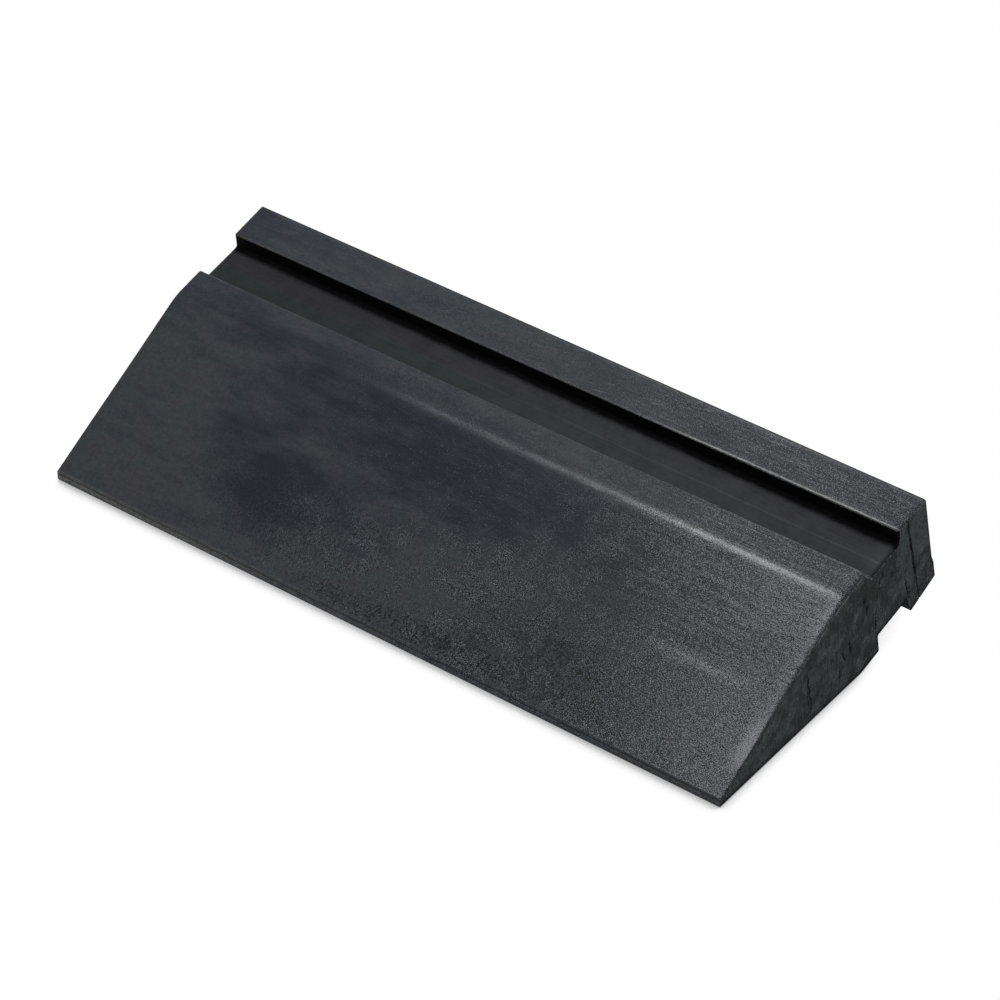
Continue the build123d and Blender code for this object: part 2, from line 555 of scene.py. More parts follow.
def finished_piece(name, surface, attributes, materials):
    """A mesh object of the surface, with its normals, its point attributes and a material per kind."""
    mesh = bpy.data.meshes.new(name)
    mesh.from_pydata(surface.points.tolist(), [], surface.quads.tolist())
    mesh.polygons.foreach_set("use_smooth", np.ones(len(surface.quads), bool))
    mesh.polygons.foreach_set("material_index", surface.kinds.astype(np.int32))
    for key, values in attributes.items():
        mesh.attributes.new(key, "FLOAT", "POINT").data.foreach_set("value", values.astype(np.float32))
    for material in materials:
        mesh.materials.append(material)
    mesh.normals_split_custom_set_from_vertices(area_normals(surface.points, surface.quads).tolist())
    piece = bpy.data.objects.new(name, mesh)
    bpy.context.scene.collection.objects.link(piece)
    return piece


# Worn shapes

# Long waves in the skin: length along X and along the run for each radian, in millimetres, and phase.
SKIN_WAVES = ((41, 17, 0), (23, -29, 2))
SKIN_WAVE_DEPTH = 0.12 * MM
SKIN_WAVE_FADE = 6 * MM
END_DROOP = 0.4 * MM
END_DROOP_RUN = 18 * MM
BREAK_DROOP = 1.2 * MM
BREAK_DROOP_RUN = 8 * MM
BREAK_DROOP_WIDTH = 14 * MM
NOSE_CREASE_BELOW = 1.9 * MM
NOSE_CREASE_WIDTH = 0.5 * MM
NOSE_CREASE_DEPTH = 0.5 * MM
LIP_WEAR = 0.16 * MM
LIP_WEAR_RUN = 1.6 * MM
LIP_WEAR_LEAD = 1.2 * MM

# Cracks in the cut ends: from and to on the leaning block's u and v axes, in millimetres.
CRACKS = (
    (-53, 16, -53, 72), (-56, 24, -55, 52), (-12.5, 43, -9, 26), (-16, 32, -19.8, 16), (-3.6, 46, -2.6, 28),
    (20, 50, 21, 58), (37.4, 60, 39, 68), (18, 60, 19, 68), (27.5, 23, 29.5, 36), (53, 53, 54, 61),
    (42.4, 64, 44, 72), (67.3, 40, 69.4, 11), (76.9, 86, 79.6, 24),
)
CRACK_WIDTH = 1.5 * MM
CRACK_DEPTH = 0.8 * MM
CUT_SETBACK = 0.25 * MM
CUT_SETBACK_RUN = 1.2 * MM
KNIFE_WAVE = 0.2 * MM
KNIFE_WAVE_U, KNIFE_WAVE_V = 7 * MM, 11 * MM
KNIFE_SWAY = 1.5
KNIFE_DRAG = 0.1 * MM
KNIFE_DRAG_U, KNIFE_DRAG_V = 2.1 * MM, 19 * MM
DENT_DEPTH = 0.8 * MM
DENT_U, DENT_V = -10.6 * MM, 38 * MM
DENT_WIDE, DENT_TALL = 6 * MM, 10 * MM


def smooth_step(value, low, high):
    """0 below low and 1 above high, with the cubic 3 t^2 - 2 t^3 between them."""
    t = np.clip((value - low) / (high - low), 0, 1)
    return t * t * (3 - 2 * t)


def ridge(value, middle, width):
    """A smooth ridge of height 1: exp(-((value - middle) / width)^2)."""
    return np.exp(-((value - middle) / width) ** 2)


def body_relief(x, run, at):
    """The wedge's skin: long waves from slope to channel, a droop towards the right end, most of all at
    the break, the crease that runs along the nose just under its edge, and the lip's worn front edge."""
    channel_rear = at["channel_rear"]
    on_top = smooth_step(run, 0, SKIN_WAVE_FADE)
    on_top = on_top - smooth_step(run, channel_rear - SKIN_WAVE_FADE, channel_rear)
    wave = sum(np.sin(x / (along * MM) + run / (up * MM) + phase) for along, up, phase in SKIN_WAVES)
    from_end = HALF_LENGTH - x
    droop = END_DROOP * np.clip(1 - from_end / END_DROOP_RUN, 0, 1) ** 2
    at_break = np.clip(1 - from_end / BREAK_DROOP_RUN, 0, 1) ** 2
    at_break = at_break * ridge(run, at["break"], BREAK_DROOP_WIDTH)
    crease = ridge(run, -NOSE_CREASE_BELOW, NOSE_CREASE_WIDTH)
    from_lip = run - at["lip_front"]
    lip = np.clip(1 - from_lip / LIP_WEAR_RUN, 0, 1) ** 2 * smooth_step(from_lip, -LIP_WEAR_LEAD, 0)
    sunk = on_top * (SKIN_WAVE_DEPTH * (wave - 2) / 2 - droop - BREAK_DROOP * at_break)
    return sunk - NOSE_CREASE_DEPTH * crease - LIP_WEAR * lip


def crack_distance(u, v):
    """How far the leaning block's points are from the nearest of the cracks, which are straight lines."""
    away = []
    for u0, v0, u1, v1 in np.array(CRACKS) * MM:
        along = np.array([u1 - u0, v1 - v0])
        share = np.clip(((u - u0) * along[0] + (v - v0) * along[1]) / (along @ along), 0, 1)
        away.append(np.hypot(u - u0 - share * along[0], v - v0 - share * along[1]))
    return np.min(away, axis=0)


def cut_relief(section):
    """How deep a cut end lies: set back inside its edge, wavy and streaked from the knife, with a dent
    and some cracks, each a groove along its line: exp(-(distance / width)^2)."""
    def depth(y, z, edge):
        u, v = block_axes(section, y, z)
        wave = np.sin(u / KNIFE_WAVE_U + KNIFE_SWAY * np.sin(v / KNIFE_WAVE_V)) + 1
        drag = np.sin(u / KNIFE_DRAG_U + np.sin(v / KNIFE_DRAG_V)) + 1
        dent = ridge(u, DENT_U, DENT_WIDE) * ridge(v, DENT_V, DENT_TALL)
        sunk = CUT_SETBACK + KNIFE_WAVE * wave / 2 + KNIFE_DRAG * drag / 2 + DENT_DEPTH * dent
        sunk = sunk + CRACK_DEPTH * ridge(crack_distance(u, v), 0, CRACK_WIDTH)
        return sunk * smooth_step(edge, 0, CUT_SETBACK_RUN)
    return depth


# Marks

# Strength of the marks along the lip, the crest and the slope, as profiles: a value at the left end, and
# smooth rises and falls, each from and to in millimetres from the left end, and by how much. film is the
# grey film's cover, rub how rough the grain is, patchy how far that keeps to clusters, chalk pale
# abrasion, which towards the right end is partly a painted highlight, brush streaks along the ramp, and
# scuffs thin pale scratches.
LIP = {
    "film": (0.6, (0, 120, 0.15), (140, 260, -0.12), (330, 400, 0.12)),
    "rub": (0.1, (120, 220, 0.2), (350, 450, 0.15)),
    "patchy": (0.3,),
    "chalk": (0, (310, 410, 0.04), (420, 550, 0.04), (586, 597, 0.03)),
    "brush": (0.25, (250, 450, 0.35)),
    "scuffs": (0.04, (150, 400, 0.1)),
}
CREST = {
    "film": (0.65, (120, 320, 0.05)),
    "rub": (0.1, (120, 220, 0.2), (350, 450, 0.45)),
    "patchy": (0.3,),
    "chalk": (0, (430, 520, 0.1), (500, 550, 0.04), (586, 597, 0.06)),
    "brush": (0.25, (250, 450, 0.35)),
    "scuffs": (0.02, (200, 400, 0.05)),
}
SLOPE = {
    "film": (1,),
    "rub": (0.08, (450, 550, -0.3)),
    "patchy": (0.3, (160, 240, 0.45), (440, 520, -0.45)),
    "chalk": (0, (430, 620, 0.375)),
    "brush": (0, (360, 460, 0.45)),
    "scuffs": (0, (400, 500, 0.05)),
}

# Profiles of what only a part of a face has: rough grain on the slope, which is calm above a line that
# rises to the right, and more of it low down, pale abrasion at the right end that is partly a painted
# highlight, dust on the nose, dust in the channel that grows towards the right end partly as a painted
# highlight, and the film that the crest's rear wall has lost.
SLOPE_GRAIN = (0, (130, 230, 0.45), (290, 370, 0.45))
CALM = (1, (340, 460, -1))
CALM_LINE = (52, (200, 400, 40))
CALM_FADE = 25 * MM
LOW_GRAIN = (0, (290, 350, 0.35), (460, 520, -0.35))
LOW_GRAIN_FADE = (25 * MM, 45 * MM)
END_CHALK_AND_HIGHLIGHT = (0, (586, 597, 1))
END_CHALK_AND_HIGHLIGHT_LEAST, END_CHALK_AND_HIGHLIGHT_MORE = 0.12, 0.25
END_CHALK_AND_HIGHLIGHT_MIDDLE, END_CHALK_AND_HIGHLIGHT_WIDTH = 42 * MM, 16 * MM
END_CHALK_AND_HIGHLIGHT_FROM = 20 * MM
NOSE_DUST = (0.24, (0, 350, -0.135), (520, 560, -0.025))
NOSE_DUST_FADE = 1 * MM
NOSE_SPOT = 0.03
NOSE_SPOT_PLACE, NOSE_SPOT_WIDTH = 410 * MM, 60 * MM
CHANNEL_DUST_AND_HIGHLIGHT = (0, (50, 500, 0.055), (586, 597, 0.05))
WALL_LOSS = (0.3, (200, 400, -0.3))
WALL_REACH = 5 * MM

# Places along the run where marks begin, fade or change over, among them the painted shade under the lip,
# and how dark the painted shade in the groove is.
BREAK_BLEND = 3 * MM
CHANNEL_BLEND = 1 * MM
UPPER_SLOPE = (70 * MM, 100 * MM)
LIP_SHADE_FROM, LIP_SHADE_FULL = 8 * MM, 2 * MM
GROOVE_SHADE = 0.5

# The right end: a bare margin that is wider up the slope, and an arris that is rubbed pale.
MARGIN_FROM = 0.3 * MM
MARGIN_LOW, MARGIN_MORE = 1 * MM, 3 * MM
MARGIN_RUN = (40 * MM, 110 * MM)
ARRIS_PLACE, ARRIS_WIDTH = 0.3 * MM, 0.2 * MM
ARRIS_RUN = (60 * MM, 120 * MM)

# The cut ends' lower edge, darkened with painted shade.
CUT_LOW_SHADE = 0.9
CUT_LOW_SHADE_REACH = 3.5 * MM


class Line(NamedTuple):
    """A mark along a corner of the section. Profiles give its strength and how far behind the corner it
    lies in millimetres, and width is in millimetres too."""

    corner: str
    strength: tuple
    behind: tuple
    width: float


# A pale band along the break: partly abrasion, partly a painted highlight.
CHALK_AND_HIGHLIGHT_LINES = (Line("break", (0, (410, 480, 0.5), (550, 600, -0.1)), (1, (450, 500, 0.7)), 2.6),)
# A painted highlight along the break, in the pale colour.
PAINTED_SHEEN_LINES = (Line("break", (0, (140, 300, 0.22)), (1.5, (310, 350, -0.6)), 2.4),)
# Pale lines along the crest's rear edge, the lip's front edge and the nose's top edge: dust, and painted
# highlights on those edges.
DUST_AND_HIGHLIGHT_LINES = (
    Line("crest_rear", (0.07, (300, 400, 0.1), (460, 520, 0.4)), (0.4,), 1),
    Line("lip_front", (0.13, (60, 320, 0.07), (350, 460, 1)), (0.2, (400, 460, 0.8)), 0.65),
    Line("nose_top", (0.1,), (0.6,), 0.7),
)
WORN_LINES = (
    Line("break", (0.1875, (200, 450, 0.5625)), (1.5,), 3.5),
    Line("lip_front", (0, (300, 450, 1)), (0.4,), 0.7),
)
# Painted shade in the crease under the nose's top edge and along the nose's foot.
PAINTED_SHADE_LINES = (Line("nose_top", (0.7,), (-1.9,), 0.8), Line("nose_foot", (0.6,), (0,), 0.9))
REAR_DUST_LINES = (Line("lip_rear", (0.05, (250, 420, 0.16)), (-1.9,), 0.8),)
# Painted shade along the strip's rear edge.
REAR_PAINTED_SHADE_LINES = (Line("lip_rear", (0.95,), (-0.15,), 0.55),)

# Patches on the slope: from and to along X from the left end, from and to up the slope from the nose,
# in millimetres, and how strong they are.
SLATE_CLOUDS = (
    (105, 410, 112, 172, 0.68), (205, 290, 116, 165, 0.25), (95, 160, 72, 118, 0.5),
    (205, 340, 78, 118, 0.45), (280, 400, 84, 165, 0.36), (215, 270, 44, 78, 0.5),
    (95, 155, 40, 85, 0.3), (144, 208, 36, 84, 1.05), (275, 335, 8, 42, -0.8),
    (127, 200, 36, 52, 0.4), (131, 200, 12, 35, 0.4), (223, 275, 6, 46, 0.25),
    (338, 372, 44, 66, 0.15), (361, 402, 22, 50, 0.4), (408, 442, 38, 58, 0.55),
    (298, 402, 1, 17, 0.6), (419, 497, 5, 19, 0.5), (346, 385, 8, 31, 0.5),
    (385, 470, 85, 150, 0.55), (-60, 230, 152, 178, 0.35), (290, 420, 140, 172, 0.15),
    (405, 490, 6, 46, 0.2),
)
# Pale patches are partly painted highlights: a bright line along a low ridge near the right end and faint
# glints high up at the right.
PALE_PATCHES = (
    (490, 560, 75, 84, 0.25), (330, 390, 42, 78, 0.04), (460, 640, 124, 176, 0.05),
    (500, 640, 82, 118, -0.05),
)
PITTED = (
    (225, 300, 1, 16, 0.6), (290, 415, 1, 20, 1.2), (400, 490, 4, 50, 0.6),
    (340, 460, 28, 72, 0.45), (132, 212, 34, 76, 0.6), (445, 505, 6, 44, 0.45),
)
CLIMBED = ((110, 350, 4, 84, 1.0),)
GRIT = ((190, 420, 90, 158, 1.0),)

# Lighter and darker parts of the cut ends: from and to on the leaning block's axes, and how much lighter.
CUT_PATCHES = (
    (-14, 64, 44, 88, -0.6), (62, 82, 15, 95, 0.7), (80, 104, 44, 95, 0.8), (80, 104, 6, 42, -0.4),
    (8, 34, 58, 78, -0.3), (-6, 60, 8, 40, -0.25), (-60, -46, 10, 70, -0.2), (-130, -84, 18, 44, 0.4),
    (-46, -16, 6, 64, 0.2),
)
PATCH_EDGE = 1 / 8


def along_ramp(x, profile):
    """A profile's value at X from the left end: its start, plus its smooth steps up and down."""
    start, *rises = profile
    return start + sum(rise * smooth_step(x, first * MM, last * MM) for first, last, rise in rises)


def on_lines(x, run, at, lines):
    """Marks along corners: for each line a ridge across it, as strong as its profile says."""
    return sum(
        along_ramp(x, line.strength)
        * ridge(run, at[line.corner] + along_ramp(x, line.behind) * MM, line.width * MM)
        for line in lines
    )


def in_patches(x, run, patches):
    """Patches with soft edges, added up: each the product of four logistic steps, which are an eighth of
    the patch wide, times the patch's strength."""
    total = 0.0
    for *sides, strength in patches:
        x0, x1, run0, run1 = (side * MM for side in sides)
        wide, tall = (x1 - x0) * PATCH_EDGE, (run1 - run0) * PATCH_EDGE
        inside_x = 1 / (1 + np.exp(-(x - x0) / wide)) / (1 + np.exp((x - x1) / wide))
        inside_run = 1 / (1 + np.exp(-(run - run0) / tall)) / (1 + np.exp((run - run1) / tall))
        total = total + strength * inside_x * inside_run
    return total


def above_underside(section, u, v):
    """How far the leaning block's points lie above the underside: the road in front of the bend, and then
    the heel, the groove and the foot."""
    at = stations(section)
    behind = np.where(u < at["groove_rear"], section.groove_depth, section.foot_front_rise)
    behind = np.where(u < at["groove_front"], 0.0, behind)
    return v - np.where(u < 0, -u * np.tan(section.rear_tilt), behind)


def skin_axes(surface):
    """The skin's stations as X from the left end, and its run: a column and a row that span its grid."""
    stations_along, count = surface.skin_shape
    return surface.points[:stations_along * count:count, 0][:, None] + HALF_LENGTH, surface.run[None]


def spread_marks(surface, section, skin_marks):
    """Marks at the piece's points: those given for the grid of its skin, and the lighter parts of the cut
    ends and the painted shade along their lower edge."""
    on_skin = np.prod(surface.skin_shape)
    u, v = block_axes(section, surface.points[:, 1], surface.points[:, 2])
    marks = {
        "cut_light": in_patches(u, v, CUT_PATCHES),
        "cut_low_shade": CUT_LOW_SHADE * ridge(above_underside(section, u, v), 0, CUT_LOW_SHADE_REACH),
    }
    for key, mark in skin_marks.items():
        marks[key] = np.zeros(len(surface.points))
        marks[key][:on_skin] = np.broadcast_to(mark, surface.skin_shape).ravel()
    return marks


def pale_arris(x):
    """The right end's arris, rubbed pale."""
    return ridge(2 * HALF_LENGTH - x, ARRIS_PLACE, ARRIS_WIDTH)


def body_marks(surface, section):
    """Strength of each kind of mark at the points of the wedge."""
    at = surface.at
    x, run = skin_axes(surface)
    channel_front, channel_rear = at["channel_front"], at["channel_rear"]
    on_slope = 1 - smooth_step(run, at["break"] - BREAK_BLEND, at["break"] + BREAK_BLEND)
    on_lip = smooth_step(run, channel_rear, at["lip_front"])
    on_wall = ridge(run, (at["crest_rear"] + channel_front) / 2, WALL_REACH)
    in_channel = smooth_step(run, channel_front - CHANNEL_BLEND, channel_front + CHANNEL_BLEND)
    margin = MARGIN_LOW + MARGIN_MORE * smooth_step(run, *MARGIN_RUN)
    inside_end = smooth_step(2 * HALF_LENGTH - x, MARGIN_FROM, margin)

    # The slope has more rub than its profiles say, more pale abrasion, which in the pale patches and at the
    # right end is partly a painted highlight, and brushed streaks high up only.
    slope = {mark: along_ramp(x, profile) for mark, profile in SLOPE.items()}
    calm_line = along_ramp(x, CALM_LINE) * MM
    calm = along_ramp(x, CALM) * smooth_step(run, calm_line, calm_line + CALM_FADE)
    low_grain = along_ramp(x, LOW_GRAIN) * (1 - smooth_step(run, *LOW_GRAIN_FADE))
    slope["rub"] = slope["rub"] + along_ramp(x, SLOPE_GRAIN) * (1 - calm) + low_grain
    end_chalk_and_highlight = END_CHALK_AND_HIGHLIGHT_LEAST + END_CHALK_AND_HIGHLIGHT_MORE * ridge(run, END_CHALK_AND_HIGHLIGHT_MIDDLE, END_CHALK_AND_HIGHLIGHT_WIDTH)
    end_chalk_and_highlight = along_ramp(x, END_CHALK_AND_HIGHLIGHT) * end_chalk_and_highlight * (run > END_CHALK_AND_HIGHLIGHT_FROM)
    slope["chalk"] = (slope["chalk"] + in_patches(x, run, PALE_PATCHES) + end_chalk_and_highlight) * (run > 0)
    slope["brush"] = slope["brush"] * smooth_step(run, *UPPER_SLOPE)

    marks = {}
    for mark in SLOPE:
        crest, lip = along_ramp(x, CREST[mark]), along_ramp(x, LIP[mark])
        rear = crest + (lip - crest) * on_lip
        marks[mark] = rear + (slope[mark] - rear) * on_slope
    marks["film"] = marks["film"] - along_ramp(x, WALL_LOSS) * on_wall - in_patches(x, run, SLATE_CLOUDS)
    # Along the break, the pale band is partly a painted highlight.
    marks["chalk"] = inside_end * (marks["chalk"] + on_lines(x, run, at, CHALK_AND_HIGHLIGHT_LINES))
    nose_dust = along_ramp(x, NOSE_DUST) + NOSE_SPOT * ridge(x, NOSE_SPOT_PLACE, NOSE_SPOT_WIDTH)
    nose_dust = nose_dust * (1 - smooth_step(run, -NOSE_DUST_FADE, 0))
    # Dust in the channel, partly a painted highlight towards the right end.
    channel_dust_and_highlight = along_ramp(x, CHANNEL_DUST_AND_HIGHLIGHT) * in_channel * (1 - on_lip)
    # Painted shade on the channel's floor under the lip, full on the lip's wall.
    painted_shade_under_lip = smooth_step(run, channel_rear - LIP_SHADE_FROM, channel_rear - LIP_SHADE_FULL)
    # dust also holds painted highlights along edges, sheen is a painted highlight along the break, dark is
    # painted shade along the nose, and shade is painted shade under the lip and in the groove.
    return spread_marks(surface, section, {
        **marks,
        "dust": inside_end * (nose_dust + channel_dust_and_highlight + on_lines(x, run, at, DUST_AND_HIGHLIGHT_LINES)),
        "sheen": inside_end * on_lines(x, run, at, PAINTED_SHEEN_LINES),
        "worn": on_lines(x, run, at, WORN_LINES),
        "dark": on_lines(x, run, at, PAINTED_SHADE_LINES),
        "shade": np.where(run > at["lip_seam"], GROOVE_SHADE, painted_shade_under_lip),
        "pitted": in_patches(x, run, PITTED),
        "grit": in_patches(x, run, GRIT),
        "climb": in_patches(x, run, CLIMBED),
        "channel_run": run - channel_front,
        "edge": pale_arris(x) * smooth_step(run, *ARRIS_RUN) * (run < at["lip_seam"]),
    })


def lip_marks(surface, section, rear):
    """Strength of each kind of mark on the back of the lip, as on its front. Its rear edge, which is at
    rear along the run, is darkened with painted shade, with a pale line of dust in front of it."""
    x, run = skin_axes(surface)
    at = {"lip_rear": rear}
    marks = {mark: along_ramp(x, profile) for mark, profile in LIP.items()}
    return spread_marks(surface, section, {
        **marks,
        "chalk": marks["chalk"] * (run < rear),
        "dust": on_lines(x, run, at, REAR_DUST_LINES),
        "dark": on_lines(x, run, at, REAR_PAINTED_SHADE_LINES),
        "edge": pale_arris(x) * (run > 0) * (run < rear),
    })


# Materials

class Noise(NamedTuple):
    """A cloudy pattern: its size in millimetres, how many finer sizes it adds, and how strong they are."""

    size: float
    detail: float
    roughness: float = 0.5


GRAIN = Noise(0.48, 0.0)
PIT = Noise(2.2, 2.0, 0.7)
PEBBLE = Noise(3, 3.0, 0.65)
CLUSTER = Noise(15, 4.0, 0.6)
TINT = Noise(26, 1.0)
STREAK = Noise(1.1, 2.0)
SMEAR = Noise(14, 5.0, 0.6)
SCUFF = Noise(1.6, 0.0)
SETTLED_GRAIN = Noise(3, 2.0)
SETTLED_SMEAR = Noise(14, 6.0, 0.6)
KNIFE_LINE = Noise(1.4, 3.0, 0.6)
BLOTCH = Noise(11, 6.0, 0.65)
TORN_GRAIN = Noise(1.5, 2.0)
RAGGED = Noise(3, 2.0)
LUMP = Noise(1.5, 3.0)
PORE = 4 * MM

GRAIN_HEIGHT = 0.04 * MM
SMEAR_HEIGHT = 0.15 * MM
LUMP_HEIGHT = 0.15 * MM
MOULD_LINE = 12.5 * MM
MOULD_LINE_BLUR = 2 * MM
MOULD_LINE_WIDTH = 0.7 * MM
CRACK_WANDER = 1.5 * MM
ALL_ALONG = 1000.0
SLOPE_ANGLE = np.radians(29)
SCUFF_ANGLE = np.radians(12)
RUBBER_IOR = 1.52
CEMENT_IOR = 1.5


def add(tree, kind, inputs=None, output=0, **settings):
    """Adds a shader node with its settings and gives one of its outputs. Inputs are values, or sockets
    to link."""
    node = tree.nodes.new("ShaderNode" + kind)
    for key, value in settings.items():
        setattr(node, key, value)
    for key, value in (inputs or {}).items():
        if isinstance(value, bpy.types.NodeSocket):
            tree.links.new(value, node.inputs[key])
        else:
            node.inputs[key].default_value = value
    return node.outputs[output] if node.outputs else node


def new_material(name):
    """An empty node material, and its tree."""
    material = bpy.data.materials.new(name)
    material.use_nodes = True
    material.node_tree.nodes.clear()
    return material, material.node_tree


def end_material(tree, tone, height, roughness, ior, gloss):
    """Ends a material with its colour, its bumps, from a height in metres, and its gloss."""
    bump = add(tree, "Bump", {"Height": height, "Distance": 1.0})
    shader = add(tree, "BsdfPrincipled", {
        "Base Color": tone, "Roughness": roughness, "IOR": ior, "Specular IOR Level": gloss, "Normal": bump,
    })
    add(tree, "OutputMaterial", {"Surface": shader})


def moulded_black_rubber(colours):
    """Press-moulded black rubber, walked and driven on: a finely grained skin under a thin grey film,
    which is rubbed off to clean bluish black in clouds, rough in clusters, and pale towards the right end,
    partly with abrasion and partly with a painted highlight. Painted highlights lie along the break and
    some edges too, and painted shade along the nose and the strip's rear edge. The grain is drawn a little
    coarser than it is, so that it shows."""
    material, tree = new_material("moulded_black_rubber")
    place = add(tree, "TexCoord", output="Object")
    lengthwise = add(tree, "Mapping", {"Vector": place, "Scale": (0.03, 1, 1)})
    dragged = add(tree, "Mapping", {"Vector": place, "Scale": (0.4, 1, 1)})
    uphill = add(tree, "Mapping", {
        "Vector": place, "Rotation": (-SLOPE_ANGLE, 0, 0), "Scale": (1, 0.1, 1),
    })
    slanted = add(tree, "Mapping", {
        "Vector": place, "Rotation": (0, 0, SCUFF_ANGLE), "Scale": (14, 1, 1),
    }, vector_type="TEXTURE")
    grain, hole, pebble, cluster, tint, streak, track, smear, scratch = (
        add(tree, "TexNoise", {
            "Vector": vector, "Scale": 1 / (noise.size * MM), "Detail": noise.detail,
            "Roughness": noise.roughness,
        }, normalize=False)
        for vector, noise in (
            (place, GRAIN), (place, PIT), (place, PEBBLE), (place, CLUSTER), (place, TINT),
            (lengthwise, STREAK), (uphill, STREAK), (dragged, SMEAR), (slanted, SCUFF),
        )
    )
    film, rub, patchy, pitted, chalk, sheen, dust, brush, scuffs, worn, grit, climb, dark = (
        add(tree, "Attribute", output="Fac", attribute_name=name)
        for name in "film rub patchy pitted chalk sheen dust brush scuffs worn grit climb dark".split()
    )

    # The grain's height, with brushed streaks along the ramp and the tracks of what went up it.
    brushed = add(tree, "Math", {0: brush, 1: streak}, operation="MULTIPLY")
    climbed = add(tree, "Math", {0: climb, 1: track}, operation="MULTIPLY")
    relief = grain
    for pattern, weight in ((brushed, 0.35), (climbed, 0.3)):
        relief = add(tree, "Math", {0: pattern, 1: weight, 2: relief}, operation="MULTIPLY_ADD")
    clumps = add(tree, "MapRange", {
        "Value": cluster, "From Min": -0.25, "From Max": 0.25, "To Min": -0.55, "To Max": 0.65,
    })
    clumps = add(tree, "Math", {0: clumps, 1: patchy, 2: 0.8}, operation="MULTIPLY_ADD")
    rough = add(tree, "Math", {0: clumps, 1: rub}, operation="MULTIPLY")

    # The film's ragged cover: smeared, and rubbed away between the grains first.
    uneven = add(tree, "Math", {0: relief, 1: pebble}, operation="ADD")
    uneven = add(tree, "Math", {0: uneven, 1: rough}, operation="MULTIPLY")
    cover = film
    for pattern, weight in ((smear, 0.4), (climbed, 0.5), (uneven, 0.6)):
        cover = add(tree, "Math", {0: pattern, 1: weight, 2: cover}, operation="MULTIPLY_ADD")
    cover = add(tree, "MapRange", {"Value": cover, "From Min": 0.05, "From Max": 0.95})
    tint = add(tree, "MapRange", {"Value": tint, "From Min": -0.3, "From Max": 0.3})
    dusty = add(tree, "Mix", {0: tint, 6: colours.skin, 7: colours.skin_green}, 2, data_type="RGBA")
    tone = add(tree, "Mix", {0: cover, 6: colours.slate, 7: dusty}, 2, data_type="RGBA")
    mottle = add(tree, "Math", {0: pebble, 1: 0.2, 2: 1.0}, operation="MULTIPLY_ADD")
    tone = add(tree, "VectorMath", {0: tone, "Scale": mottle}, operation="SCALE")

    # Uneven dust, with painted highlights along the lip's front edge, the crest's rear edge and the nose's
    # top edge, and an uneven painted highlight along the break.
    dust_and_highlight = add(tree, "Math", {0: pebble, 1: 0.7, 2: 1.0}, operation="MULTIPLY_ADD")
    dust_and_highlight = add(tree, "Math", {0: dust_and_highlight, 1: dust}, operation="MULTIPLY", use_clamp=True)
    painted_sheen_share = 1.0
    for pattern, weight in ((smear, 0.6), (grain, 1.6)):
        painted_sheen_share = add(tree, "Math", {0: pattern, 1: weight, 2: painted_sheen_share}, operation="MULTIPLY_ADD")
    painted_sheen_share = add(tree, "Math", {0: painted_sheen_share, 1: sheen}, operation="MULTIPLY", use_clamp=True)

    # Dark pits between the grains and grey tops on them where the skin is rough, holes, pale abrasion on
    # the tops, partly a painted highlight, which reaches lower the stronger that mark is, scratches and a few
    # glints of grit. Each share rises between two heights of its pattern, and is as strong as its mark.
    some = add(tree, "MapRange", {"Value": chalk, "From Min": 0.0, "From Max": 0.06})
    raised = add(tree, "Math", {0: chalk, 1: 0.9, 2: relief}, operation="MULTIPLY_ADD")
    scratch = add(tree, "Math", {0: cluster, 1: 0.3, 2: scratch}, operation="MULTIPLY_ADD")
    gritty = add(tree, "Math", {0: cluster, 1: 0.08, 2: grain}, operation="MULTIPLY_ADD")
    pit, top, hole, pale, scuff, glint = (
        add(tree, "Math", {
            0: add(tree, "MapRange", {"Value": pattern, "From Min": low, "From Max": high, "To Max": most}),
            1: mark,
        }, operation="MULTIPLY", use_clamp=True)
        for pattern, low, high, most, mark in (
            (relief, 0.26, -0.06, 1.0, rough), (relief, 0.08, 0.38, 0.8, rough),
            (hole, 0.18, 0.3, 1.0, pitted), (raised, 0.39, 0.51, 1.0, some),
            (scratch, 0.45, 0.6, 1.0, scuffs), (gritty, 0.6, 0.72, 1.0, grit),
        )
    )
    # The shares over the tone, lowest first; the last one is painted shade.
    for share, layer in (
        (dust_and_highlight, colours.dust), (painted_sheen_share, colours.chalk), (pit, colours.deep), (top, colours.bloom),
        (hole, colours.deep), (pale, colours.chalk), (scuff, colours.chalk), (glint, colours.speck),
        (dark, colours.deep),
    ):
        tone = add(tree, "Mix", {0: share, 6: tone, 7: layer}, 2, data_type="RGBA")

    # Polished where the break and the lip's edge are worn, with the grain rubbed down, at most by half.
    roughness = 0.44
    for pattern, weight in ((worn, -0.27), (brushed, 0.1)):
        roughness = add(tree, "Math", {0: pattern, 1: weight, 2: roughness}, operation="MULTIPLY_ADD")
    height = add(tree, "Math", {0: rough, 1: pebble}, operation="MULTIPLY")
    height = add(tree, "Math", {0: height, 1: 2.0, 2: relief}, operation="MULTIPLY_ADD")
    height = add(tree, "Math", {0: height, 1: GRAIN_HEIGHT}, operation="MULTIPLY")
    height = add(tree, "Math", {0: smear, 1: SMEAR_HEIGHT, 2: height}, operation="MULTIPLY_ADD")
    kept = add(tree, "Math", {0: worn, 1: -0.5, 2: 1.0}, operation="MULTIPLY_ADD")
    height = add(tree, "Math", {0: height, 1: kept}, operation="MULTIPLY")
    end_material(tree, tone, height, roughness, RUBBER_IOR, gloss=0.16)
    return material


